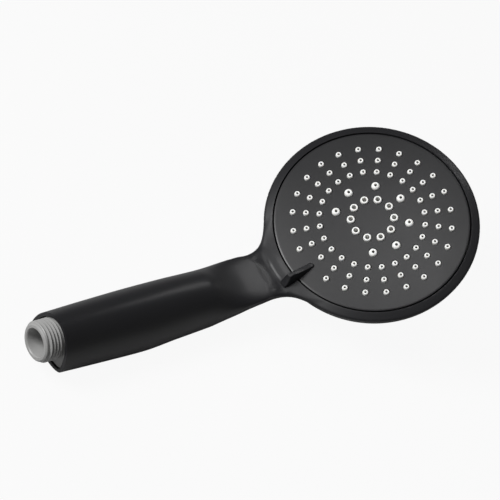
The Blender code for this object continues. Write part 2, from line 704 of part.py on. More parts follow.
def hub_oring(head, chassis):
    """Seal between the fixed hub and the sleeve that turns on it, in a groove of the hub."""
    height = BODY_BOTTOM + 1.6 * MM
    ring = HUB_RADIUS - 0.5 * MM
    groove = [
        (ring - ORING_SECTION - GAP / 2, height + 0.8 * MM), (HUB_RADIUS + MM, height + 0.8 * MM),
        (HUB_RADIUS + MM, height - 0.8 * MM), (ring - ORING_SECTION - GAP / 2, height - 0.8 * MM),
    ]
    cut(chassis, turned_cutter("hub_groove", groove, head, 16))
    turned("hub_oring", ring_profile(ring, ORING_SECTION, height, 6), "rubber", head, 16)


def pivot_fastener(head):
    """Washer and screw in the hub, which keep the spray body on it."""
    low = -HUB_TOP + GAP / 3
    top = low + WASHER_THICKNESS
    hole = SCREW_RADIUS + GAP
    profile = [(hole, top), (WASHER_RADIUS, top), (WASHER_RADIUS, low), (hole, low)]
    turned("pivot_washer", profile, "steel", head, 20)
    seat = top + GAP / 3
    end = CHASSIS_BOTTOM - MM
    profile = [
        (0, seat + SCREW_HEAD), (SCREW_HEAD_RADIUS, seat + 0.7 * SCREW_HEAD), (SCREW_HEAD_RADIUS, seat),
        (SCREW_RADIUS, seat), (SCREW_RADIUS, end), (0, end - 0.4 * MM),
    ]
    turned("pivot_screw", profile, "steel", head, 12)


def jet_plate(turning):
    """Ring with slanted slots that drive the turbine round."""
    low = BODY_TOP + GAP
    inner = SLEEVE_RADIUS + GAP
    outer = RING_WALL_IN - GAP
    profile = [(inner, low + JET_PLATE), (outer, low + JET_PLATE), (outer, low), (inner, low)]
    plate = turned("turbine_jet_plate", profile, "acetal", turning, 24)
    slots = bmesh.new()
    for i in range(JET_SLOTS):
        add_slot(slots, math.tau * (i + 0.5) / JET_SLOTS, low + JET_PLATE / 2)
    cut(plate, add_cutter("jet_slots", finish_mesh(slots, "jet_slots"), turning))


def add_slot(bm, angle, height):
    """Slot across the ring, leaning in the turning direction."""
    band = RING_WALL_IN - SLEEVE_RADIUS
    length, width, reach = 0.44 * band, 0.17 * band, 2 * JET_PLATE
    verts = add_box(bm, (-length / 2, -width / 2, -reach), (length / 2, width / 2, reach))
    radius = SLEEVE_RADIUS + 0.66 * band
    for vert in verts:
        x, y, z = vert.co
        vert.co = turn_point((x + radius, y + z * SLOT_LEAN, z + height), angle)


def massage_turbine(turning):
    """Wheel that spins round the sleeve; its half disc opens and shuts the massage jets."""
    low = BODY_TOP + GAP + JET_PLATE + GAP
    inner = SLEEVE_RADIUS + GAP
    ring = inner + 1.3 * MM
    top = low + TURBINE_HEIGHT
    profile = [(inner, top), (ring, top), (ring, low), (inner, low)]
    wheel = turned("massage_turbine", profile, "acetal", turning, 20)
    blades = bmesh.new()
    for i in range(TURBINE_BLADES):
        angle = math.tau * i / TURBINE_BLADES
        near, far = (ring - 0.4 * MM, -0.4 * MM, low), (TURBINE_RADIUS, 0.4 * MM, top - 0.2 * MM)
        verts = add_box(blades, near, far)
        for vert in verts:
            vert.co = turn_point(vert.co, angle)
    join(wheel, add_cutter("turbine_blades", finish_mesh(blades, "turbine_blades"), turning))
    shutter = turned_cutter("turbine_shutter", [
        (ring - 0.5 * MM, top - 0.1 * MM), (TURBINE_RADIUS + 0.2 * MM, top - 0.1 * MM),
        (TURBINE_RADIUS + 0.2 * MM, top - 0.8 * MM), (ring - 0.5 * MM, top - 0.8 * MM)], turning, 24)
    half = bmesh.new()
    reach = 2 * TURBINE_RADIUS
    add_box(half, (-reach, 0.9 * MM, low - MM), (reach, reach, top + MM))
    cut(shutter, add_cutter("turbine_window", finish_mesh(half, "turbine_window"), turning))
    join(wheel, shutter)


def rain_places():
    """Rain nozzles on three rings, 15 degrees apart; the outer ring leaves room for the lever."""
    places = []
    for radius in RAIN_RINGS:
        for i in range(RAIN_COUNT):
            if radius == RAIN_RINGS[-1] and i == 0:
                continue
            places.append(polar(radius, math.radians(-90) + math.tau * i / RAIN_COUNT))
    return places


def jet_places():
    return [polar(JET_RING, math.radians(angle - 90)) for angle in JET_ANGLES]


def massage_places():
    step = math.tau / MASSAGE_COUNT
    return [polar(MASSAGE_RING, math.radians(-90) + step * i) for i in range(MASSAGE_COUNT)]


def add_loop(bm, radius, count, centre=(0, 0), height=0.0):
    """Circle of edges in a level plane."""
    verts = []
    for i in range(count):
        x, y = polar(radius, math.tau * i / count)
        verts.append(bm.verts.new((centre[0] + x, centre[1] + y, height)))
    edges = [bm.edges.new((verts[i], verts[(i + 1) % count])) for i in range(count)]
    return verts, edges


def sheet(bm, loops):
    """Fill the plane between the loops."""
    edges = [edge for loop in loops for edge in loop[1]]
    bmesh.ops.triangle_fill(bm, use_beauty=True, use_dissolve=False, edges=edges)


def bridge(bm, first, second):
    """Band of faces between two loops that start at the same angle."""
    for i in range(len(first[0])):
        bm.faces.new((first[0][i - 1], first[0][i], second[0][i], second[0][i - 1]))


def radius_of(point):
    return math.hypot(point[0], point[1])


def face_plate(turning):
    bm = bmesh.new()
    loops = [add_loop(bm, FACE_RADIUS, 48)]
    for places, radius, sides in ((rain_places(), RAIN_NOZZLE, 6), (jet_places(), JET_NOZZLE, 8),
                                  (massage_places(), MASSAGE_NOZZLE, 8)):
        loops += [add_loop(bm, radius + NOZZLE_CLEARANCE, sides, place) for place in places]
    sheet(bm, loops)
    made = bmesh.ops.extrude_face_region(bm, geom=list(bm.faces), use_keep_orig=True)
    moved = [item for item in made["geom"] if isinstance(item, bmesh.types.BMVert)]
    bmesh.ops.translate(bm, verts=moved, vec=(0, 0, -FACE_THICKNESS))
    for vert in bm.verts:
        vert.co.z += face_height(radius_of(vert.co))
    plate = add_object("face_plate", finish_mesh(bm, "face_plate"), "black", turning)
    top = face_height(SKIRT_OUT) - FACE_THICKNESS / 2
    skirt = [(SKIRT_IN, top), (SKIRT_OUT, top), (SKIRT_OUT, -SKIRT_DEPTH), (SKIRT_IN, -SKIRT_DEPTH)]
    join(plate, turned_cutter("face_skirt", skirt, turning, 48))
    slot = bmesh.new()
    reach = TENON_HALF + GAP
    add_box(slot, (-reach, -TENON_END - GAP, -5 * MM), (reach, -TENON_START + GAP, 5 * MM))
    cut(plate, add_cutter("lever_slot", finish_mesh(slot, "lever_slot"), turning))
    return plate


def nozzle_sheet(name, rings, groups, finish, turning):
    """Domed plate with nozzles that reach through the face plate; a nozzle with a bore is open."""
    bm = bmesh.new()
    edges = (rings[0], rings[-1]) if len(rings) > 1 else rings[:1]
    upper = [add_loop(bm, radius, 36) for radius in edges]
    lower = [add_loop(bm, radius, 36, height=-MAT_THICKNESS) for radius in rings]
    discs = []
    for places, radius, bore, sides in groups:
        for place in places:
            top = add_loop(bm, radius, sides, place)
            back = add_loop(bm, bore * 1.8, sides, place, -MAT_THICKNESS) if bore else None
            discs.append((top, back, Vector(place), bore, radius))
    sheet(bm, upper + [disc[0] for disc in discs])
    sheet(bm, lower[:2] + [disc[1] for disc in discs if disc[1]])
    for first, second in zip(lower[1:], lower[2:]):
        bridge(bm, first, second)
    bridge(bm, upper[0], lower[0])
    if len(rings) > 1:
        bridge(bm, upper[-1], lower[-1])
    for vert in bm.verts:
        vert.co.z += mat_height(radius_of(vert.co))
    for top, back, centre, bore, radius in discs:
        tip = face_height(centre.length) + NOZZLE_PROUD
        end = add_loop(bm, radius * NOZZLE_TAPER, len(top[0]), centre, tip)
        bridge(bm, top, end)
        if bore:
            mouth = add_loop(bm, bore, len(top[0]), centre, tip)
            bridge(bm, end, mouth)
            bridge(bm, mouth, back)
        else:
            bm.faces.new(end[0])
    return add_object(name, finish_mesh(bm, name), finish, turning)


def nozzles(turning):
    inside = MAT_SPLIT + GAP / 2
    middle = (inside + MAT_RADIUS) / 2
    rings = [inside, middle, MAT_RADIUS]
    mat = ((rain_places(), RAIN_NOZZLE, None, 6), (jet_places(), JET_NOZZLE, JET_BORE, 8))
    nozzle_sheet("nozzle_mat", rings, mat, "white", turning)
    ring = ((massage_places(), MASSAGE_NOZZLE, MASSAGE_BORE, 8),)
    nozzle_sheet("massage_nozzle_ring", [MAT_SPLIT - GAP / 2], ring, "white", turning)


def selector_lever(turning):
    """Thumb lever: a fin that rises outwards to a hollow end over the rim, with a tenon below."""
    half = LEVER_THICKNESS / 2
    rings = []
    bm = bmesh.new()
    for place, height, foot, top in LEVER_STATIONS:
        reach = LEVER_START + place * (LEVER_END - LEVER_START)
        low = max(face_height(reach), 0) + GAP / 2
        high = max(height * LEVER_HEIGHT, low + GAP)
        corners = ((-foot, low), (foot, low), (top, high), (-top, high))
        rings.append([bm.verts.new((x * half, -reach, z)) for x, z in corners])
    for first, second in zip(rings, rings[1:]):
        for i in range(4):
            bm.faces.new((first[i - 1], first[i], second[i], second[i - 1]))
    bm.faces.new(rings[0])
    bm.faces.new(rings[-1])
    lever = add_object("selector_lever", finish_mesh(bm, "selector_lever"), "black", turning)
    tenon = bmesh.new()
    add_box(tenon, (-TENON_HALF, -TENON_END, -TENON_BOTTOM), (TENON_HALF, -TENON_START, 2 * MM))
    join(lever, add_cutter("lever_tenon", finish_mesh(tenon, "lever_tenon"), turning))


def water_tube(head, start):
    """Inner tube: straight from the connector, then down into the neck and on to the spigot."""
    tilt = HEAD_TILT
    end = -DUCT_END - MM
    finish_y = HEAD_Y + end * math.cos(tilt) + SPIGOT_DEPTH * math.sin(tilt)
    finish_z = HEAD_Z + end * math.sin(tilt) - SPIGOT_DEPTH * math.cos(tilt)
    mouth_y = finish_y - (SPIGOT_END - DUCT_END) * math.cos(tilt)
    mouth_z = finish_z - (SPIGOT_END - DUCT_END) * math.sin(tilt)
    bend_start = RIM_Y - TUBE_BEND
    span = mouth_y - bend_start
    points = [(start + GAP, 0.0), (bend_start - TUBE_STRAIGHT, 0.0)]
    for i in range(9):
        t = i / 8
        rise = (3 * t * t - 2 * t ** 3) * mouth_z - (t * t - t ** 3) * span * TUBE_DIP * math.tan(tilt)
        points.append((bend_start + span * t, rise))
    points.append((finish_y, finish_z))
    data = bpy.data.curves.new("water_tube", "CURVE")
    data.dimensions = "3D"
    data.bevel_depth = TUBE_RADIUS
    data.bevel_resolution = 4
    spline = data.splines.new("POLY")
    spline.points.add(len(points) - 1)
    for point, (y, z) in zip(spline.points, points):
        point.co = (0, y, z, 1)
    tube = add_object("water_tube", data, "grey")
    wall = tube.modifiers.new("wall", "SOLIDIFY")
    wall.thickness = TUBE_WALL
    wall.offset = -1
    return tube


def main():
    head = add_frame("head_axis", None, (0, HEAD_Y, HEAD_Z), (HEAD_TILT, 0, 0))
    turning = add_frame("selector_axis", head, (0, 0, 0), (0, 0, LEVER_REST))
    handle_shell(head)
    tube_start, _ = inlet_connector()
    water_tube(head, tube_start)
    chassis = diverter_chassis(head)
    hub_oring(head, chassis)
    chassis_fasteners(head)
    pivot_fastener(head)
    valve_parts(head)
    detent_parts(head)
    selector_disc(turning)
    spray_body(turning)
    jet_plate(turning)
    massage_turbine(turning)
    nozzles(turning)
    face_plate(turning)
    selector_lever(turning)


main()
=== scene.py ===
# Handheld shower head with a turning spray face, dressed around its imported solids.
# Lengths are in metres. The head's own frame has its origin in the middle of the seam
# between rim and face, and its Z axis is the way the water leaves.
import math

import bmesh
import bpy
from mathutils import Matrix, Vector
from mathutils.bvhtree import BVHTree


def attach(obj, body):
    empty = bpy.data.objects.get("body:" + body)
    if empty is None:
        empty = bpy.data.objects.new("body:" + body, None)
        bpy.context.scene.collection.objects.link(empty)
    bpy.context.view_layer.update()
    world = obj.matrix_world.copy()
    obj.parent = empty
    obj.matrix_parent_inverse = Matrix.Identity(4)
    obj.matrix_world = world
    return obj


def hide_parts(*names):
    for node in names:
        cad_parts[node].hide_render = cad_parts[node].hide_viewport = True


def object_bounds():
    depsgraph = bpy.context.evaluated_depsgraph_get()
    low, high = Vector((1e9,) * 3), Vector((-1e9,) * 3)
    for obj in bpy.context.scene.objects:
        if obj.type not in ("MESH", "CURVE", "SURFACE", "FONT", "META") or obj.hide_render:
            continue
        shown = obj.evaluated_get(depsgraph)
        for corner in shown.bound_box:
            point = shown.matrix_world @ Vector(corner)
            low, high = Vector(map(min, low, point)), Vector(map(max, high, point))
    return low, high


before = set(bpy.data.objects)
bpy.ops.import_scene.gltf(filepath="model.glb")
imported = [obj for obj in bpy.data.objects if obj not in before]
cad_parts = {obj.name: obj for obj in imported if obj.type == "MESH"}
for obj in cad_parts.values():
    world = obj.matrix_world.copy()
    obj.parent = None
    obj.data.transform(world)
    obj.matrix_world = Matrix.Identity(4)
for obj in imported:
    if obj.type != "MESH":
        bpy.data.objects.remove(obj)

cadLow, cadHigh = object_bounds()
mm = 0.001

head = {
    "centre": (0, 196.8, 29.3), "tilt": 24.3, "leverTurn": 10,
    "seamRadius": 50.65, "rimWidth": 4.6, "rimDrop": 1.65, "bowlDepth": 26.5,
    "faceRadius": 50.35, "faceRise": 2.95,
}
headFrame = (Matrix.Translation(Vector(head["centre"]) * mm)
             @ Matrix.Rotation(math.radians(head["tilt"]), 4, "X"))
turnFrame = headFrame @ Matrix.Rotation(math.radians(head["leverTurn"]), 4, "Z")


def hexColour(text, alpha=1.0):
    parts = [int(text[i:i + 2], 16) / 255 for i in (1, 3, 5)]
    return tuple(p / 12.92 if p <= 0.04045 else ((p + 0.055) / 1.055) ** 2.4 for p in parts) + (alpha,)


def addNode(tree, kind, inputs=None, **settings):
    made = tree.nodes.new(kind)
    for name, value in settings.items():
        setattr(made, name, value)
    for name, value in (inputs or {}).items():
        socket = made.inputs[name]
        if isinstance(value, bpy.types.NodeSocket):
            tree.links.new(value, socket)
        else:
            socket.default_value = value
    return made


def newMaterial(name, **settings):
    made = bpy.data.materials.new(name)
    made.use_nodes = True
    tree = made.node_tree
    shader = tree.nodes["Principled BSDF"]
    for key, value in settings.items():
        shader.inputs[key].default_value = value
    return made, tree, shader


def meshObject(name, bm, material, sharpAngle=35):
    mesh = bpy.data.meshes.new(name)
    bm.to_mesh(mesh)
    bm.free()
    mesh.shade_smooth()
    mesh.set_sharp_from_angle(angle=math.radians(sharpAngle))
    mesh.materials.append(material)
    made = bpy.data.objects.new(name, mesh)
    bpy.context.scene.collection.objects.link(made)
    return made


def evaluated(obj):
    graph = bpy.context.evaluated_depsgraph_get()
    bm = bmesh.new()
    bm.from_mesh(bpy.data.meshes.new_from_object(obj.evaluated_get(graph)))
    return bm


def drop(*objs):
    for obj in objs:
        bpy.data.objects.remove(obj, do_unlink=True)


def spinProfile(points, steps, closed=True):
    # turn an outline of (radius, height) points, in mm, about Z
    bm = bmesh.new()
    verts = [bm.verts.new((r * mm, 0, z * mm)) for r, z in points]
    pairs = list(zip(verts, verts[1:])) + ([(verts[-1], verts[0])] if closed else [])
    edges = [bm.edges.new(pair) for pair in pairs]
    bmesh.ops.spin(bm, geom=verts + edges, axis=(0, 0, 1), cent=(0, 0, 0),
                   angle=math.tau, steps=steps, use_merge=True)
    bmesh.ops.remove_doubles(bm, verts=bm.verts, dist=1e-6)
    loose = [e for e in bm.edges if not e.link_faces]
    bmesh.ops.delete(bm, geom=loose, context="EDGES")
    bmesh.ops.recalc_face_normals(bm, faces=bm.faces)
    return bm


def place(bm, matrix):
    bmesh.ops.transform(bm, matrix=matrix, verts=bm.verts)
    return bm


def faceHeight(radius):
    # the dome of the spray face, in mm above the seam
    return head["faceRise"] * (1 - (radius / head["faceRadius"]) ** 2)


def curveThrough(places, values, at):
    # smooth curve through the values, with no overshoot between neighbours
    last = len(places) - 1
    slopes = [(values[i + 1] - values[i]) / (places[i + 1] - places[i]) for i in range(last)]

    def tangent(i):
        before, after = slopes[max(i - 1, 0)], slopes[min(i, last - 1)]
        return 0.0 if before * after <= 0 else 2 * before * after / (before + after)

    i = max(k for k in range(last) if k == 0 or places[k] <= at)
    span = places[i + 1] - places[i]
    t = (at - places[i]) / span
    return ((1 + 2 * t) * (1 - t) ** 2 * values[i] + t * (1 - t) ** 2 * span * tangent(i)
            + t * t * (3 - 2 * t) * values[i + 1] - t * t * (1 - t) * span * tangent(i + 1))


def mouldedPlastic(name, colour, shade, roughness, grain, bump, specular=0.5):
    # moulded ABS: the tool's spark-eroded texture gives a fine satin grain and breaks up gloss
    made, tree, shader = newMaterial(name, Roughness=roughness)
    shader.inputs["Specular IOR Level"].default_value = specular
    where = addNode(tree, "ShaderNodeTexCoord").outputs["Object"]
    patch = addNode(tree, "ShaderNodeTexNoise", {"Vector": where, "Scale": 55.0, "Detail": 3.0})
    ramp = addNode(tree, "ShaderNodeMix", {
        "Factor": patch.outputs["Fac"], "A": hexColour(colour), "B": hexColour(shade)}, data_type="RGBA")
    tree.links.new(ramp.outputs["Result"], shader.inputs["Base Color"])
    fine = addNode(tree, "ShaderNodeTexNoise", {"Vector": where, "Scale": 1 / grain, "Detail": 2.0})
    wear = addNode(tree, "ShaderNodeMapRange", {
        "Value": patch.outputs["Fac"], "To Min": roughness - 0.04, "To Max": roughness + 0.05})
    tree.links.new(wear.outputs["Result"], shader.inputs["Roughness"])
    relief = addNode(tree, "ShaderNodeBump", {
        "Height": fine.outputs["Fac"], "Strength": bump, "Distance": 0.05 * mm})
    tree.links.new(relief.outputs["Normal"], shader.inputs["Normal"])
    return made


blackAbs = mouldedPlastic("black_abs", "#1c1c1f", "#19191b", 0.38, 0.35 * mm, 0.3)
faceAbs = mouldedPlastic("black_abs_face", "#242426", "#212122", 0.4, 0.3 * mm, 0.3)
greyAbs = mouldedPlastic("grey_filled_abs", "#9c9c9b", "#929291", 0.42, 0.5 * mm, 0.4)
acetal = mouldedPlastic("natural_acetal", "#deddd3", "#d6d5cb", 0.38, 0.4 * mm, 0.2)
blackRubber = mouldedPlastic("black_nitrile", "#1c1c1c", "#222222", 0.7, 0.3 * mm, 0.4)


def siliconeMaterial():
    # white silicone: soft, slightly translucent, matt
    made, tree, shader = newMaterial("white_silicone", Roughness=0.55)
    shader.inputs["Subsurface Weight"].default_value = 0.05
    shader.inputs["Subsurface Radius"].default_value = (0.6 * mm, 0.5 * mm, 0.4 * mm)
    where = addNode(tree, "ShaderNodeTexCoord").outputs["Object"]
    patch = addNode(tree, "ShaderNodeTexNoise", {"Vector": where, "Scale": 140.0, "Detail": 2.0})
    tone = addNode(tree, "ShaderNodeMix", {
        "Factor": patch.outputs["Fac"], "A": hexColour("#fafaf8"), "B": hexColour("#f0f0ed")}, data_type="RGBA")
    tree.links.new(tone.outputs["Result"], shader.inputs["Base Color"])
    relief = addNode(tree, "ShaderNodeBump", {
        "Height": patch.outputs["Fac"], "Strength": 0.2, "Distance": 0.05 * mm})
    tree.links.new(relief.outputs["Normal"], shader.inputs["Normal"])
    return made


def steelMaterial():
    # stainless steel, cold formed: fine drawn streaks
    made, tree, shader = newMaterial("stainless_steel", Metallic=1.0, Roughness=0.28)
    where = addNode(tree, "ShaderNodeTexCoord").outputs["Object"]
    streak = addNode(tree, "ShaderNodeTexNoise", {"Vector": where, "Scale": 900.0, "Detail": 2.0})
    tone = addNode(tree, "ShaderNodeMix", {
        "Factor": streak.outputs["Fac"], "A": hexColour("#b9b9b7"), "B": hexColour("#a5a5a3")}, data_type="RGBA")
    tree.links.new(tone.outputs["Result"], shader.inputs["Base Color"])
    return made


silicone = siliconeMaterial()
steel = steelMaterial()

inside = {
    "water_tube": greyAbs, "tube_oring": blackRubber, "spigot_oring_1": blackRubber,
    "spigot_oring_2": blackRubber, "hub_oring": blackRubber, "valve_seal": blackRubber,
    "valve_spring": steel, "detent_spring": steel, "detent_ball": steel,
    "pivot_washer": steel, "pivot_screw": steel, "chassis_screw_1": steel,
    "chassis_screw_2": steel, "chassis_screw_3": steel, "spray_body": acetal,
    "selector_disc": acetal, "turbine_jet_plate": acetal, "massage_turbine": acetal,
    "diverter_chassis": acetal,
}
for node, material in inside.items():
    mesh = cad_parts[node].data
    mesh.materials.clear()
    mesh.materials.append(material)
print("materials made")


shell = {
    # place, half width, front, back, widest line (mm), and how full the front is (2 = ellipse);
    # the neck is measured from the lowest point of the rim, in place and height
    "grip": ((9.9, 15.2, 13.0, 13.4, -7.35, 2.0), (35, 15.9, 13.3, 14.1, -7.9, 2.0),
             (60, 16.3, 13.4, 14.8, -8.4, 2.0), (80, 15.65, 13.4, 13.9, -6.9, 2.0)),
    "neck": ((-47.1, 14.82, 6.84, 18.86, -10.93, 2.1), (-38.0, 14.58, 3.74, 18.16, -8.35, 2.3),
             (-29.1, 14.41, 1.04, 17.46, -5.41, 2.6), (-22.0, 14.05, -0.16, 17.06, -3.07, 2.8),
             (-15.0, 13.65, -0.62, 16.4, -2.16, 3.0), (-9.0, 13.1, -0.86, 15.6, -2.16, 3.1),
             (-3.0, 12.7, -0.36, 14.9, -2.16, 3.2), (1.0, 12.5, 1.14, 14.6, -1.76, 3.0),
             (3.5, 12.5, 2.54, 14.6, -1.41, 2.8), (8.5, 12.7, 4.54, 14.7, -0.26, 2.5),
             (18.6, 14.0, 8.34, 14.46, 3.34, 2.2), (28.5, 15.0, 12.24, 11.66, 7.14, 2.0),
             (37.1, 14.0, 15.44, 8.66, 10.44, 2.0), (44.0, 12.0, 17.44, 5.86, 11.94, 2.0)),
    "sides": 96, "station": 2.0, "wall": 2.3, "endWall": 1.95, "recess": 4.3,
    "voxel": 0.75, "spare": 1.5,
    # reach of the soft join at the top and lower down, and the share of it along the middle
    "blend": (15.5, 9.0), "blendDepth": (2.0, 6.0), "blendSide": (3.0, 11.0), "blendMiddle": 0.45,
    "shoulder": 0.1, "shoulderReach": 9.0, "shoulderRise": 0.8, "shoulderSoft": 2.6,
}
tilt = math.radians(head["tilt"])
toHead = headFrame.inverted()
headUp = (headFrame.to_3x3() @ Vector((0, 0, 1))).normalized()
rimRadius = head["seamRadius"] + head["rimWidth"]
rimY = head["centre"][1] - rimRadius * math.cos(tilt) + head["rimDrop"] * math.sin(tilt)
rimZ = head["centre"][2] - rimRadius * math.sin(tilt) - head["rimDrop"] * math.cos(tilt)
sections = list(shell["grip"]) + [
    (rimY + at, wide, front + rimZ, back - rimZ, middle + rimZ, full)
    for at, wide, front, back, middle, full in shell["neck"]]
sectionPlaces = [row[0] for row in sections]


def loftHandle(start, end, inset):
    # a unit tube along Y, then every point pushed out to the handle's section there
    bm = bmesh.new()
    bmesh.ops.create_circle(bm, segments=shell["sides"], radius=1)
    bmesh.ops.rotate(bm, verts=bm.verts, matrix=Matrix.Rotation(math.radians(90), 3, "X"))
    steps = max(2, round((end - start) / shell["station"]))
    edges = list(bm.edges)
    for _ in range(steps):
        made = bmesh.ops.extrude_edge_only(bm, edges=edges)["geom"]
        bmesh.ops.translate(bm, verts=[g for g in made if isinstance(g, bmesh.types.BMVert)],
                            vec=(0, (end - start) / steps, 0))
        edges = [g for g in made if isinstance(g, bmesh.types.BMEdge)
                 and abs(g.verts[0].co.y - g.verts[1].co.y) < 1e-6]
    bmesh.ops.holes_fill(bm, edges=[e for e in bm.edges if len(e.link_faces) == 1], sides=0)
    for vert in bm.verts:
        y = start + vert.co.y
        at = min(max(y, sectionPlaces[0]), sectionPlaces[-1])
        wide, front, back, middle, full = (
            curveThrough(sectionPlaces, [row[i] for row in sections], at) for i in range(1, 6))
        tall = front - middle if vert.co.z > 0 else back + middle
        power = 2 / full if vert.co.z > 0 else 1.0
        across = math.copysign(abs(vert.co.x) ** power, vert.co.x)
        up = math.copysign(abs(vert.co.z) ** power, vert.co.z)
        vert.co = Vector(((wide - inset) * across, y, middle + (tall - inset) * up)) * mm
    bmesh.ops.recalc_face_normals(bm, faces=bm.faces)
    return bm


def bowlOutline(inset):
    # a superellipse: full at the rim, flat at the back
    points = []
    for i in range(25):
        angle = math.radians(4 + 86 * i / 24)
        points.append(((rimRadius - inset) * math.cos(angle) ** 0.65,
                       -(head["bowlDepth"] - inset) * math.sin(angle)))
    points[-1] = (0, points[-1][1])
    return points


def booleanMesh(target, tool, operation):
    step = target.modifiers.new("cut", "BOOLEAN")
    step.operation = operation
    step.solver = "EXACT"
    step.object = tool
    bm = evaluated(target)
    drop(tool)
    target.modifiers.clear()
    bm.to_mesh(target.data)
    bm.free()


def ease(value, start, end):
    share = min(max((value - start) / (end - start), 0.0), 1.0)
    return share * share * (3 - 2 * share)


def away(tree, point):
    # distance to a closed surface, less than nothing inside it, and the way out
    spot, normal, _, gap = tree.find_nearest(point)
    side = 1 if (point - spot).dot(normal) >= 0 else -1
    return side * gap, (point - spot).normalized() * side if gap > 2e-5 else normal


def softJoin(point, handleTree, bowlTree):
    # distance to neck and bowl run together in one soft sweep, and the way out
    one, oneWay = away(handleTree, point)
    two, twoWay = away(bowlTree, point)
    local = toHead @ point
    across = local.xy.length / mm - head["seamRadius"]
    upper, lower = shell["blend"]
    reach = upper + (lower - upper) * ease(-local.z / mm, *shell["blendDepth"])
    middle = shell["blendMiddle"]
    reach *= mm * (middle + (1 - middle) * ease(abs(local.x) / mm, *shell["blendSide"]))
    share = max(reach - abs(one - two), 0.0) / reach
    short = min(one, two) - share * share * reach / 4
    lean = 0.5 + 0.5 * min(max((two - one) / reach, -1.0), 1.0)
    way = (oneWay * lean + twoWay * (1 - lean)).normalized()
    # beside the seam the fill stays low enough for the lever to pass
    past = across - shell["shoulderReach"]
    rise = shell["shoulderRise"] * (past + math.hypot(past, shell["shoulderSoft"])) / 2
    over = local.z + (shell["shoulder"] * across - rise) * mm
    share = max(share, ease(two / mm, 0, 3) * (1 - ease(two / mm, 8, 14)))
    soft = (0.001 + shell["shoulderSoft"] * share) * mm
    share = max(soft - abs(short - over), 0.0) / soft
    lean = 0.5 + 0.5 * min(max((over - short) / soft, -1.0), 1.0)
    way = (way * (1 - lean) + headUp * lean).normalized()
    return max(short, over) + share * share * soft / 4, way


def makeShell():
    start, spare = shell["grip"][0][0], shell["spare"]
    seam, wall = head["seamRadius"], -9.5
    # handle and bowl as one body, with spare plastic at both edges that are cut crisp later
    handle = meshObject("handle_shell_skin", loftHandle(start - spare, sectionPlaces[-1], 0), blackAbs)
    low = -head["rimDrop"]
    rim = [(0, 0.15), (seam - spare, 0.15), (seam + 0.3, 0.05), (rimRadius - 0.9, low + 0.34),
           (rimRadius - 0.35, low + 0.06), (rimRadius - 0.08, low - 0.25), (rimRadius, low - 0.7)]
    bowl = meshObject("bowl", place(spinProfile(rim + bowlOutline(0)[1:], 180), headFrame), blackAbs)
    handleTree = BVHTree.FromObject(handle, bpy.context.evaluated_depsgraph_get())
    bowlTree = BVHTree.FromObject(bowl, bpy.context.evaluated_depsgraph_get())
    booleanMesh(handle, bowl, "UNION")
    space = [(0, 5), (seam - spare, 5), (seam - spare, wall)] + bowlOutline(shell["wall"])[8:]
    booleanMesh(handle, meshObject("space", place(spinProfile(space, 120), headFrame), blackAbs), "DIFFERENCE")
    exact = BVHTree.FromObject(handle, bpy.context.evaluated_depsgraph_get())
    for stage in (1, 2):
        grid = handle.modifiers.new("grid", "REMESH")
        grid.mode = "VOXEL"
        grid.voxel_size = shell["voxel"] * mm
        bm = evaluated(handle)
        handle.modifiers.clear()
        still, crease, filled = [], [], []
        for vert in bm.verts:
            gaps = away(handleTree, vert.co)[0], away(bowlTree, vert.co)[0]
            level = min(gaps) if stage == 1 else softJoin(vert.co, handleTree, bowlTree)[0]
            near = abs(level) < 0.8 * mm and abs(gaps[0] - gaps[1]) < shell["blend"][0] * mm
            (crease if near and vert.co.y > 0.11 else still).append(vert)
            if near and vert.co.y > 0.11 and abs(gaps[0] - gaps[1]) < 0.55 * shell["blend"][0] * mm:
                filled.append(vert)
        for _ in range(3):
            for vert in still:
                vert.co = exact.find_nearest(vert.co)[0]
            bmesh.ops.smooth_vert(bm, verts=still, factor=0.3, use_axis_x=True, use_axis_y=True, use_axis_z=True)
        for vert in still:
            vert.co = exact.find_nearest(vert.co)[0]
        for turn in range(10):
            if (stage == 1 and turn in (3, 6)) or (stage == 2 and turn in (2, 5)):
                bmesh.ops.smooth_vert(bm, verts=filled, factor=0.4, use_axis_x=True, use_axis_y=True,
                                      use_axis_z=True)
            for vert in crease:
                short, way = softJoin(vert.co, handleTree, bowlTree)
                vert.co -= way * short * 0.8
        bm.to_mesh(handle.data)
        bm.free()
    # crisp edges: the seat of the face, the mouth and the open end
    seat = [(0, 5), (seam + 2, 5), (seam + 0.5, 0.5), (seam + 0.12, -0.12), (seam, -0.4), (seam, wall), (0, wall)]
    tool = place(spinProfile(seat, 240, closed=False), headFrame)
    booleanMesh(handle, meshObject("seat", tool, blackAbs), "DIFFERENCE")
    mouth = loftHandle(start - 5, start + shell["recess"], shell["endWall"])
    booleanMesh(handle, meshObject("mouth", mouth, blackAbs), "DIFFERENCE")
    trim = bmesh.new()
    bmesh.ops.create_cube(trim, size=0.06)
    bmesh.ops.translate(trim, verts=trim.verts, vec=(0, start * mm - 0.03, 0))
    booleanMesh(handle, meshObject("trim", trim, blackAbs), "DIFFERENCE")
    handle.data.shade_smooth()
    handle.data.set_sharp_from_angle(angle=math.radians(40))
    return handle


shellSkin = makeShell()
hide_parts("handle_shell")
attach(shellSkin, "handle")
print("shell made", len(shellSkin.data.polygons))


inlet = {
    # G1/2: crest and root radius and pitch, then the plain end, the bore and the socket, in mm
    "crest": 10.478, "root": 9.317, "pitch": 1.814, "leadRadius": 9.66, "lead": 1.0,
    "threadEnd": 9.7, "bore": 6.95, "boreDepth": 18, "flange": (10.7, 13.9), "socket": 5.0,
    "socketDepth": (24, 38), "tubeBore": 3.4, "turnSteps": 48, "runOut": 0.4,
}
alongHandle = Matrix.Rotation(math.radians(90), 4, "X")


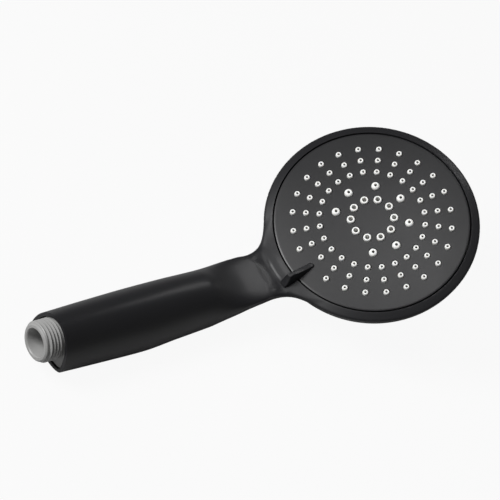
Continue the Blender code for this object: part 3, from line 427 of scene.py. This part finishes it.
def makeThread():
    # one ridge wound round the core; it fades out over the first and last part turn
    bm = bmesh.new()
    root, crest = inlet["root"], inlet["crest"]
    half = inlet["pitch"] / 2
    ridge = [(root - 0.25, -0.95 * half), (root + 0.1, -0.8 * half), (crest - 0.2, -0.3 * half),
             (crest, -0.12 * half), (crest, 0.12 * half), (crest - 0.2, 0.3 * half),
             (root + 0.1, 0.8 * half), (root - 0.25, 0.95 * half)]
    verts = [bm.verts.new((r, 0, z)) for r, z in ridge]
    edges = [bm.edges.new((verts[i - 1], verts[i])) for i in range(len(verts))]
    turns = (inlet["threadEnd"] - inlet["lead"]) / inlet["pitch"]
    count = round(turns * inlet["turnSteps"])
    rows = [verts]
    for i in range(count):
        made = bmesh.ops.extrude_edge_only(bm, edges=edges)["geom"]
        fresh = [g for g in made if isinstance(g, bmesh.types.BMVert)]
        bmesh.ops.rotate(bm, verts=fresh, matrix=Matrix.Rotation(math.tau / inlet["turnSteps"], 3, "Z"))
        bmesh.ops.translate(bm, verts=fresh, vec=(0, 0, -inlet["pitch"] / inlet["turnSteps"]))
        edges = [g for g in made if isinstance(g, bmesh.types.BMEdge)
                 and g.verts[0] in fresh and g.verts[1] in fresh]
        rows.append(fresh)
    fade = inlet["runOut"] * inlet["turnSteps"]
    for i, row in enumerate(rows):
        keep = min(1.0, (i + 1) / fade, (len(rows) - i) / fade)
        for vert in row:
            r = vert.co.xy.length
            wanted = root - 0.25 + (r - root + 0.25) * keep
            vert.co.xy *= wanted / r
    bmesh.ops.holes_fill(bm, edges=[e for e in bm.edges if len(e.link_faces) == 1], sides=0)
    bmesh.ops.recalc_face_normals(bm, faces=bm.faces)
    bmesh.ops.transform(bm, matrix=Matrix.Translation((0, 0, -inlet["lead"] * mm)) @ Matrix.Scale(mm, 4),
                        verts=bm.verts)
    return bm


def makeInlet():
    lead, bore, root = inlet["leadRadius"], inlet["bore"], inlet["root"]
    deep, (near, far) = inlet["boreDepth"], inlet["socketDepth"]
    front, back = inlet["flange"]
    socket = inlet["socket"]
    outline = [
        (bore + 0.25, -0.3), (bore + 0.6, 0), (lead - 0.85, 0), (lead - 0.1, -0.6), (lead, -inlet["lead"]),
        (root, -inlet["lead"] - 0.2), (root, -front - 1), (root - 0.1, -back - 2), (socket + 2, -near),
        (socket + 2, -far), (socket, -far), (socket, -near), (inlet["tubeBore"], -near),
        (inlet["tubeBore"], -deep), (bore, -deep), (bore, -0.8)]
    core = meshObject("inlet_connector_skin", place(spinProfile(outline, 128), alongHandle), greyAbs)
    plate = loftHandle(front, back, shell["endWall"] + 0.3)
    edge = [e for e in plate.edges if all(abs(v.co.y - front * mm) < 1e-6 for v in e.verts)]
    bmesh.ops.bevel(plate, geom=edge, offset=0.45 * mm, offset_type="OFFSET", affect="EDGES",
                    segments=3, profile=0.5, material=-1)
    hole = place(spinProfile([(0, -front + 1), (root - 1, -front + 1), (root - 1, -back - 1), (0, -back - 1)],
                             64, closed=False), alongHandle)
    flange = meshObject("flange", plate, greyAbs)
    booleanMesh(flange, meshObject("hole", hole, greyAbs), "DIFFERENCE")
    booleanMesh(core, flange, "UNION")
    bm = bmesh.new()
    bm.from_mesh(core.data)
    ridge = bpy.data.meshes.new("ridge")
    thread = place(makeThread(), alongHandle)
    thread.to_mesh(ridge)
    thread.free()
    bm.from_mesh(ridge)
    bm.to_mesh(core.data)
    bm.free()
    core.data.shade_smooth()
    core.data.set_sharp_from_angle(angle=math.radians(35))
    return core


inletSkin = makeInlet()
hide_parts("inlet_connector")
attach(inletSkin, "handle")
print("threaded end made", len(inletSkin.data.polygons))


rings = {
    # ring radii and counts from the middle out, in mm, and degrees from the lever
    "massage": 11.07, "massageCount": 10, "jet": 18.87, "jetAngles": (51, 90, 135, 180, 225, 270, 309),
    "rain": (27.06, 33.90, 40.70), "rainCount": 24, "split": 14.65, "mat": 45.4,
}


def ringPlace(radius, degrees):
    angle = math.radians(degrees - 90)
    return (radius * math.cos(angle), radius * math.sin(angle))


rainPlaces = [ringPlace(radius, 360 * i / rings["rainCount"]) for radius in rings["rain"]
              for i in range(rings["rainCount"]) if i or radius != rings["rain"][-1]]
jetPlaces = [ringPlace(rings["jet"], angle) for angle in rings["jetAngles"]]
massagePlaces = [ringPlace(rings["massage"], 360 * i / rings["massageCount"])
                 for i in range(rings["massageCount"])]

nozzle = {
    # outlines of radius and height above the face, in mm: up the hollow cone inside, over the tip
    # and down the outside
    "rain": [(1.2, -5.0), (1.1, -1.2), (0.68, 0.35), (0.58, 0.55), (0.6, 0.74), (0.72, 0.9), (1.0, 0.96),
             (1.24, 0.84), (1.4, 0.5), (1.52, 0.0), (1.6, -1.2), (1.6, -5.0)],
    "jet": [(1.7, -5.0), (1.5, -1.2), (0.86, 0.6), (0.7, 0.85), (0.74, 1.02), (0.86, 1.16), (1.2, 1.16),
            (1.66, 0.9), (2.0, 0.5), (2.16, 0.0), (2.24, -1.2), (2.24, -5.0)],
    "massage": [(1.65, -5.0), (1.6, -1.2), (1.28, 0.35), (1.14, 0.6), (1.16, 0.8), (1.28, 0.94), (1.58, 1.0),
                (1.88, 0.88), (2.04, 0.5), (2.1, 0.0), (2.12, -1.2), (2.12, -5.0)],
    "sides": {"rain": 18, "jet": 24, "massage": 24}, "gap": 0.27, "chamfer": 0.12,
}


def scatter(outline, places, steps, closed=True, follow=True):
    # the same turned shape at every place, each at its own height on the dome
    single = bpy.data.meshes.new("single")
    bm = spinProfile(outline, steps, closed)
    bm.to_mesh(single)
    bm.free()
    bm = bmesh.new()
    for x, y in places:
        known = set(bm.verts)
        bm.from_mesh(single)
        rise = faceHeight(math.hypot(x, y)) if follow else 0.0
        bmesh.ops.translate(bm, verts=[v for v in bm.verts if v not in known], vec=Vector((x, y, rise)) * mm)
    return bm


allPlaces = {"rain": rainPlaces, "jet": jetPlaces, "massage": massagePlaces}

face = {
    "radius": 50.12, "thick": 2.2, "edge": 0.4, "skirtOut": 47.5, "skirtIn": 45.9, "skirtDepth": 7.8,
    "tenon": (1.3, 43.1, 45.5),
}


def makeFace():
    reach, thick = face["radius"], face["thick"]
    steps = [reach * math.sqrt(i / 24) for i in range(24)] + [reach - face["edge"]]
    top = [(r, faceHeight(r)) for r in steps if r <= reach - face["edge"]]
    rimEdge = [(reach - 0.12, faceHeight(reach) - 0.1), (reach, -face["edge"]), (reach, -thick)]
    under = [(face["skirtOut"], faceHeight(face["skirtOut"]) - thick), (face["skirtOut"], -face["skirtDepth"]),
             (face["skirtIn"], -face["skirtDepth"]), (face["skirtIn"], faceHeight(face["skirtIn"]) - thick)]
    under += [(r, faceHeight(r) - thick) for r in (38, 28, 18, 8, 0)]
    made = meshObject("face_plate_skin", spinProfile(top + rimEdge + under, 240), faceAbs)
    for kind, places in allPlaces.items():
        radius = nozzle[kind][-3][0] + nozzle["gap"]
        chamfer = nozzle["chamfer"]
        drill = [(0, -4), (radius, -4), (radius, -chamfer), (radius + 2 * chamfer, chamfer), (0, chamfer)]
        tool = scatter(drill, places, nozzle["sides"][kind] * 2, closed=False)
        booleanMesh(made, meshObject("drill", tool, faceAbs), "DIFFERENCE")
    half, near, far = face["tenon"]
    slot = bmesh.new()
    bmesh.ops.create_cube(slot, size=1)
    bmesh.ops.scale(slot, vec=(2 * half * mm, (far - near) * mm, 10 * mm), verts=slot.verts)
    bmesh.ops.translate(slot, vec=(0, -(near + far) / 2 * mm, 0), verts=slot.verts)
    booleanMesh(made, meshObject("slot", slot, faceAbs), "DIFFERENCE")
    made.data.transform(turnFrame)
    made.data.shade_smooth()
    made.data.set_sharp_from_angle(angle=math.radians(30))
    return made


faceSkin = makeFace()
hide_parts("face_plate")
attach(faceSkin, "spray_face")
print("spray face made", len(faceSkin.data.polygons))


def makeSheet(name, inside, outside, kinds, segments):
    # the sheet under the face, with its nozzles standing through the face
    lift, thick = -2.5, 1.5
    across = [inside + (outside - inside) * i / 8 for i in range(9)]
    outline = [(r, faceHeight(r) + lift) for r in across] + [(r, faceHeight(r) + lift - thick)
                                                            for r in reversed(across)]
    made = meshObject(name, spinProfile(outline, segments), silicone)
    for kind in kinds:
        outer = nozzle[kind][-1][0] - 0.2
        tool = scatter([(0, -6), (outer, -6), (outer, 0), (0, 0)], allPlaces[kind], nozzle["sides"][kind], False)
        booleanMesh(made, meshObject("punch", tool, silicone), "DIFFERENCE")
    bm = bmesh.new()
    bm.from_mesh(made.data)
    for kind in kinds:
        part = bpy.data.meshes.new(kind)
        spouts = scatter(nozzle[kind], allPlaces[kind], nozzle["sides"][kind])
        spouts.to_mesh(part)
        spouts.free()
        bm.from_mesh(part)
    bm.to_mesh(made.data)
    bm.free()
    made.data.transform(turnFrame)
    made.data.shade_smooth()
    made.data.set_sharp_from_angle(angle=math.radians(50))
    return made


matSkin = makeSheet("nozzle_mat_skin", rings["split"] + 0.15, rings["mat"], ("rain", "jet"), 120)
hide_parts("nozzle_mat")
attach(matSkin, "spray_face")
ringSkin = makeSheet("massage_ring_skin", 0.0, rings["split"] - 0.15, ("massage",), 72)
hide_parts("massage_nozzle_ring")
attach(ringSkin, "spray_face")
print("nozzles made", len(matSkin.data.polygons), len(ringSkin.data.polygons))


lever = {
    # distance from the middle, height, half width at the foot and on top, in mm
    "stations": ((39.3, 1.6, 0.9, 0.5), (40.0, 2.15, 1.35, 0.95), (42.0, 2.65, 1.75, 1.2),
                 (44.5, 3.2, 2.0, 1.25), (47.0, 4.0, 2.25, 1.25), (50.0, 5.2, 2.45, 1.15),
                 (52.2, 6.2, 2.5, 1.05), (53.0, 6.45, 2.5, 1.05), (54.7, 6.5, 2.5, 1.05),
                 (55.3, 5.5, 2.5, 1.35), (56.2, 3.8, 2.45, 1.6), (57.2, 2.2, 2.3, 1.75),
                 (58.2, 1.0, 2.1, 1.75), (58.55, 0.55, 1.8, 1.5)),
    "clear": 0.15, "scoop": 0.5, "bevel": 0.22, "tenon": (1.0, 43.3, 45.3, -1.2), "skew": (0.06, 43.5),
}


def carryLoop(bm, edges, old, new):
    # extrude a loop of edges and move its points from the old outline to the new one
    made = bmesh.ops.extrude_edge_only(bm, edges=edges)["geom"]
    fresh = [g for g in made if isinstance(g, bmesh.types.BMVert)]
    for vert in fresh:
        vert.co = new[min(range(len(old)), key=lambda i: (old[i] - vert.co).length)]
    return [g for g in made if isinstance(g, bmesh.types.BMEdge)
            and g.verts[0] in fresh and g.verts[1] in fresh]


def leverOutline(reach, high, foot, top):
    low = max(faceHeight(reach), 0) + lever["clear"] - (0.2 if reach < 49 else 0)
    high = max(high, low + 0.25)
    dish = lever["scoop"] * min(1, high - low) if reach > 55 else 0.0
    middle, side = (low + high) / 2, (foot + top) / 2 - 0.1
    points = [(-foot, low), (foot, low), (side, middle), (top, high), (0, high - dish),
              (-top, high), (-side, middle)]
    aside = lever["skew"][0] * (reach - lever["skew"][1])
    return [Vector((x - aside, -reach, z)) * mm for x, z in points]


def makeLever():
    bm = bmesh.new()
    outlines = [leverOutline(*station) for station in lever["stations"]]
    verts = [bm.verts.new(point) for point in outlines[0]]
    edges = [bm.edges.new((verts[i - 1], verts[i])) for i in range(len(verts))]
    for old, new in zip(outlines, outlines[1:]):
        edges = carryLoop(bm, edges, old, new)
    bmesh.ops.holes_fill(bm, edges=[e for e in bm.edges if len(e.link_faces) == 1], sides=0)
    bmesh.ops.recalc_face_normals(bm, faces=bm.faces)
    made = meshObject("selector_lever_skin", bm, blackAbs)
    half, near, far, deep = lever["tenon"]
    foot = bmesh.new()
    bmesh.ops.create_cube(foot, size=1)
    bmesh.ops.scale(foot, vec=(2 * half * mm, (far - near) * mm, 3 * mm), verts=foot.verts)
    bmesh.ops.translate(foot, vec=(0, -(near + far) / 2 * mm, (deep + 1.5) * mm), verts=foot.verts)
    booleanMesh(made, meshObject("tenon", foot, blackAbs), "UNION")
    made.data.transform(turnFrame)
    round_ = made.modifiers.new("round", "BEVEL")
    round_.width = lever["bevel"] * mm
    round_.segments = 3
    round_.limit_method = "ANGLE"
    round_.angle_limit = math.radians(28)
    bm = evaluated(made)
    made.modifiers.clear()
    bm.to_mesh(made.data)
    bm.free()
    made.data.shade_smooth()
    made.data.set_sharp_from_angle(angle=math.radians(35))
    return made


leverSkin = makeLever()
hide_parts("selector_lever")
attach(leverSkin, "spray_face")
print("lever made", len(leverSkin.data.polygons))


view = {
    "location": (0.5772744, -0.8135480, 1.1977522),
    "turn": (37.90886497, -22.55722534, 58.10014865), "lens": 232.99,
}
camera = bpy.data.objects.new("camera", bpy.data.cameras.new("camera"))
bpy.context.scene.collection.objects.link(camera)
camera.location = view["location"]
camera.rotation_euler = [math.radians(a) for a in view["turn"]]
camera.data.lens = view["lens"]
camera.data.sensor_width = 36
camera.data.clip_end = 20
bpy.context.scene.camera = camera


def softBox(name, aim, direction, distance, size, power, spread=180):
    # a square soft box that looks at the point it is aimed at, from the given direction
    data = bpy.data.lights.new(name, "AREA")
    data.shape = "SQUARE"
    data.size = size
    data.energy = power
    data.spread = math.radians(spread)
    lamp = bpy.data.objects.new(name, data)
    bpy.context.scene.collection.objects.link(lamp)
    way = Vector(direction).normalized()
    lamp.location = Vector(aim) * mm + way * distance
    lamp.rotation_euler = (-way).to_track_quat("-Z", "Y").to_euler()
    return lamp


def makeStage():
    made, tree, shader = newMaterial("paper_floor", Roughness=0.9)
    shader.inputs["Base Color"].default_value = hexColour("#b4b4b4")
    path = addNode(tree, "ShaderNodeLightPath")
    glow = addNode(tree, "ShaderNodeEmission", {"Color": (1, 1, 1, 1), "Strength": 1.0})
    share = addNode(tree, "ShaderNodeMath", {0: path.outputs["Is Camera Ray"], 1: 0.93}, operation="MULTIPLY")
    blend = addNode(tree, "ShaderNodeMixShader", {0: share.outputs[0], 1: shader.outputs[0], 2: glow.outputs[0]})
    tree.links.new(blend.outputs[0], tree.nodes["Material Output"].inputs["Surface"])
    bm = bmesh.new()
    bmesh.ops.create_grid(bm, x_segments=1, y_segments=1, size=3)
    bmesh.ops.translate(bm, verts=bm.verts, vec=(0, 0.1, cadLow.z - 0.002))
    floor = meshObject("floor", bm, made)
    world = bpy.data.worlds.new("studio")
    bpy.context.scene.world = world
    world.use_nodes = True
    tree = world.node_tree
    back = tree.nodes["Background"]
    path = addNode(tree, "ShaderNodeLightPath")
    level = addNode(tree, "ShaderNodeMapRange", {"Value": path.outputs["Is Camera Ray"], "To Min": 0.13, "To Max": 1.0})
    back.inputs["Color"].default_value = (1, 1, 1, 1)
    tree.links.new(level.outputs["Result"], back.inputs["Strength"])


makeStage()
softBox("key", (0, 130, 10), (-0.385, -0.695, 0.607), 1.3, 0.5, 17)
softBox("over_face", (45, 205, 30), (-0.13, -0.12, 0.928), 0.5, 0.2, 0.016, 30)
softBox("beside_face", (45, 205, 30), (-0.33, -0.05, 0.928), 0.5, 0.2, 0.0095, 30)
softBox("over_neck", (2, 136, 5), (-0.35, 0.61, 0.71), 0.5, 0.12, 0.0042, 14)
bpy.context.scene.view_settings.view_transform = "Standard"
print("stage made")
